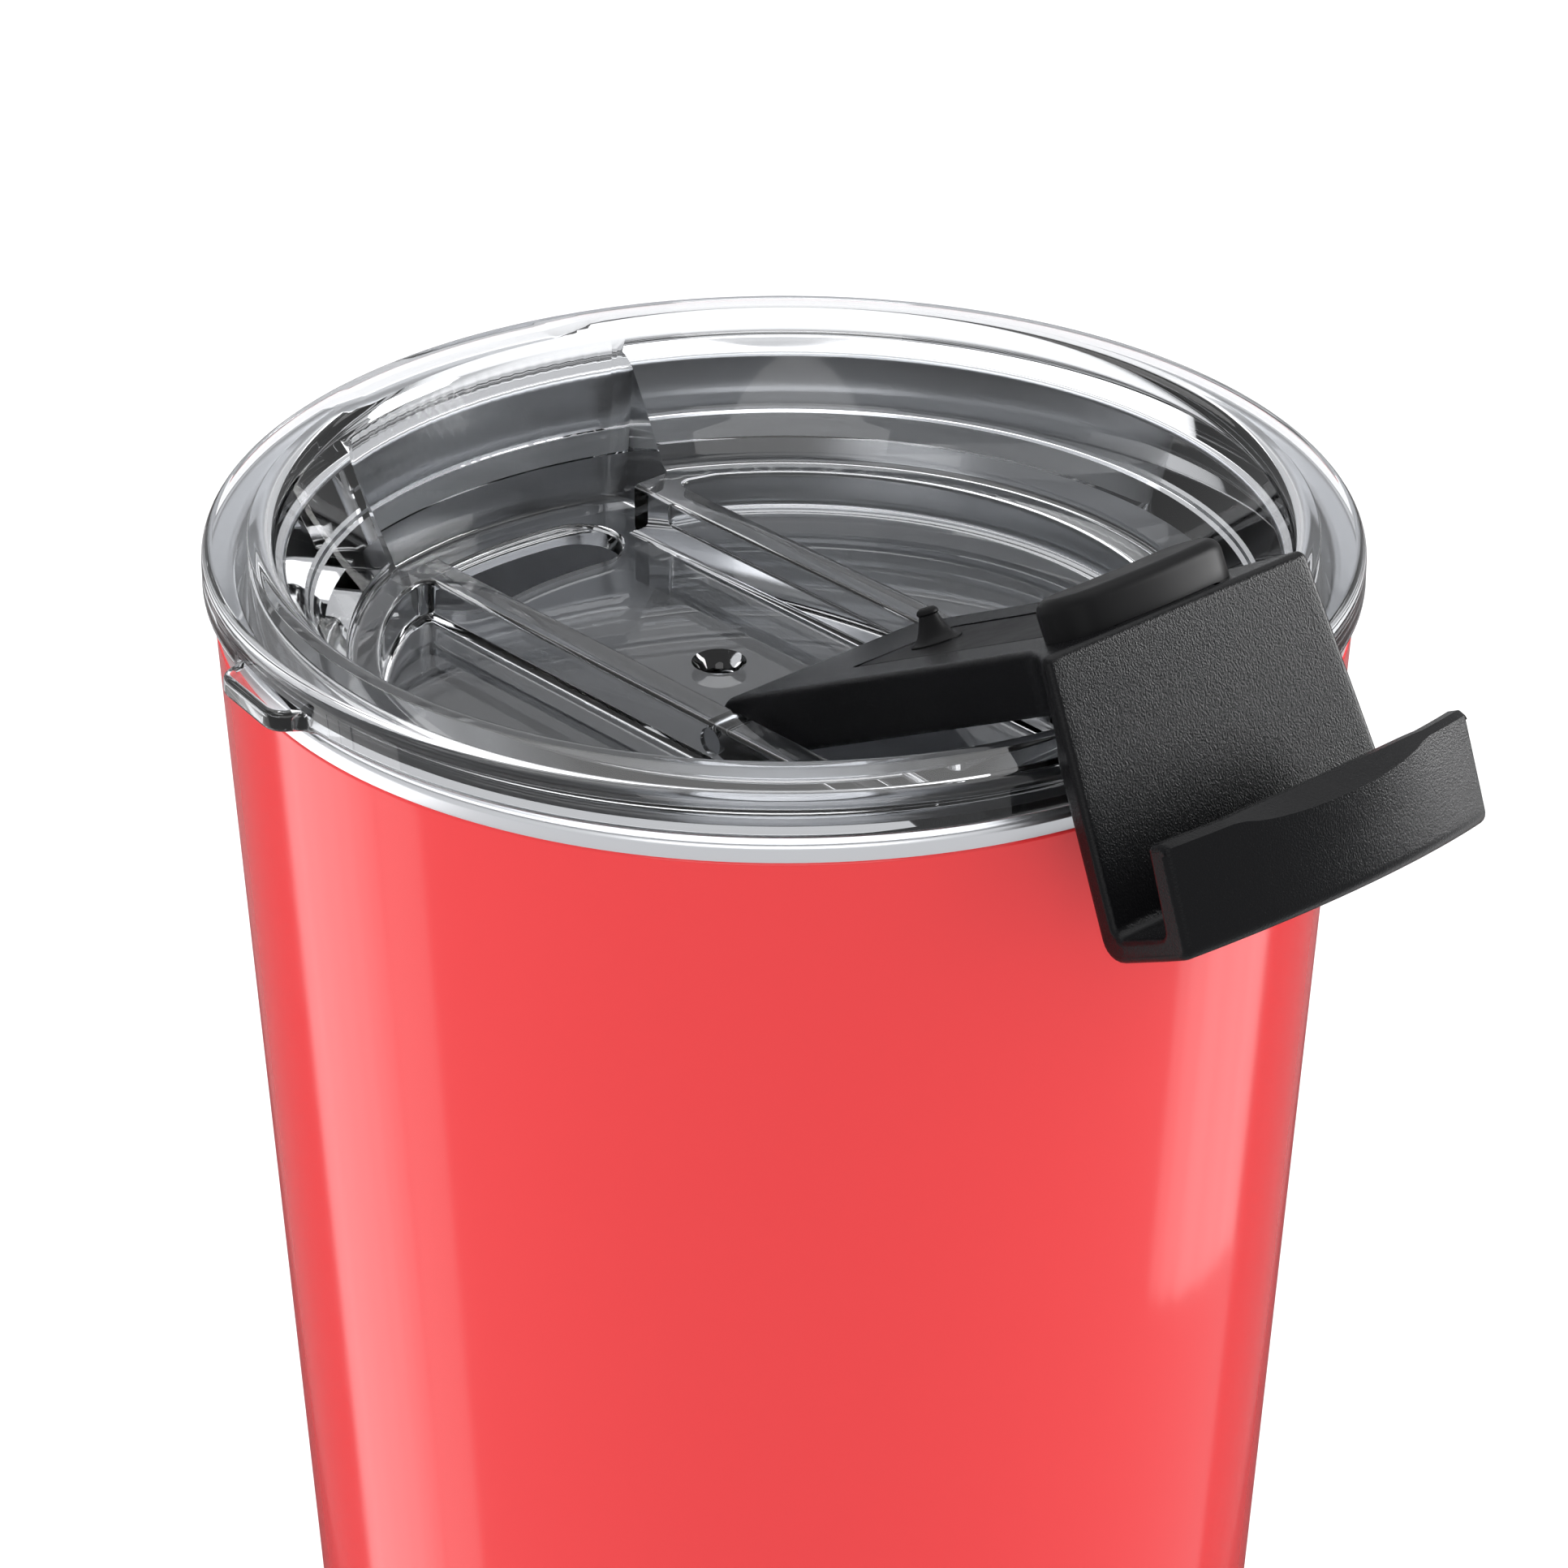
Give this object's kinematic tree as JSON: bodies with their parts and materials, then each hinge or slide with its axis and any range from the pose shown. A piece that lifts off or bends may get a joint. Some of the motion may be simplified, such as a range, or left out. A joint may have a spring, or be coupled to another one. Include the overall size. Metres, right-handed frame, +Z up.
{
  "type": "insulated tumbler with lid",
  "caption": "Coral red double-walled steel tumbler with a clear press-in lid and a black flip lever, shown open.",
  "frame": {"origin": "centre of the resting face at the foot", "axes": "+Z up through the mouth, -X towards the drinking slot, +X towards the open lever, Y along the lever's hinge"},
  "size_m": [0.1115, 0.0955, 0.1836],
  "materials": {
    "coral_paint": "gloss powder coat",
    "steel": "satin, turned",
    "clear_plastic": "clear, polished",
    "gasket_silicone": "translucent satin",
    "lever_black": "fine moulded grain",
    "seal_black": "satin",
    "copper_foil": "bright foil",
    "seal_glass": "fused bead",
    "getter": "pressed powder"
  },
  "bodies": {
    "vessel": {"outer_shell": "coral_paint", "outer_base": "steel", "base_cap": "steel", "vacuum_seal": "seal_glass", "getter_pellet": "getter", "getter_cup": "steel", "inner_liner": "steel", "liner_base": "steel", "foil_wrap": "copper_foil", "foil_disc": "copper_foil"},
    "lid": {"lid_body": "clear_plastic", "lid_gasket": "gasket_silicone"},
    "lever": {"flip_lever": "lever_black", "seal_strip": "seal_black", "drink_pad": "seal_black", "vent_plug": "seal_black", "hinge_pins": "steel"}
  },
  "joints": [
    {"name": "lid_lift", "type": "slide", "parent": "vessel", "child": "lid", "axis": [0, 0, 1], "range_m": [0, 0.06]},
    {"name": "lever_flip", "type": "hinge", "parent": "lid", "child": "lever", "pos_m": [0.0063, 0, 0.1594], "axis": [0, 1, 0], "range_deg": [-153.5, 0]}
  ]
}
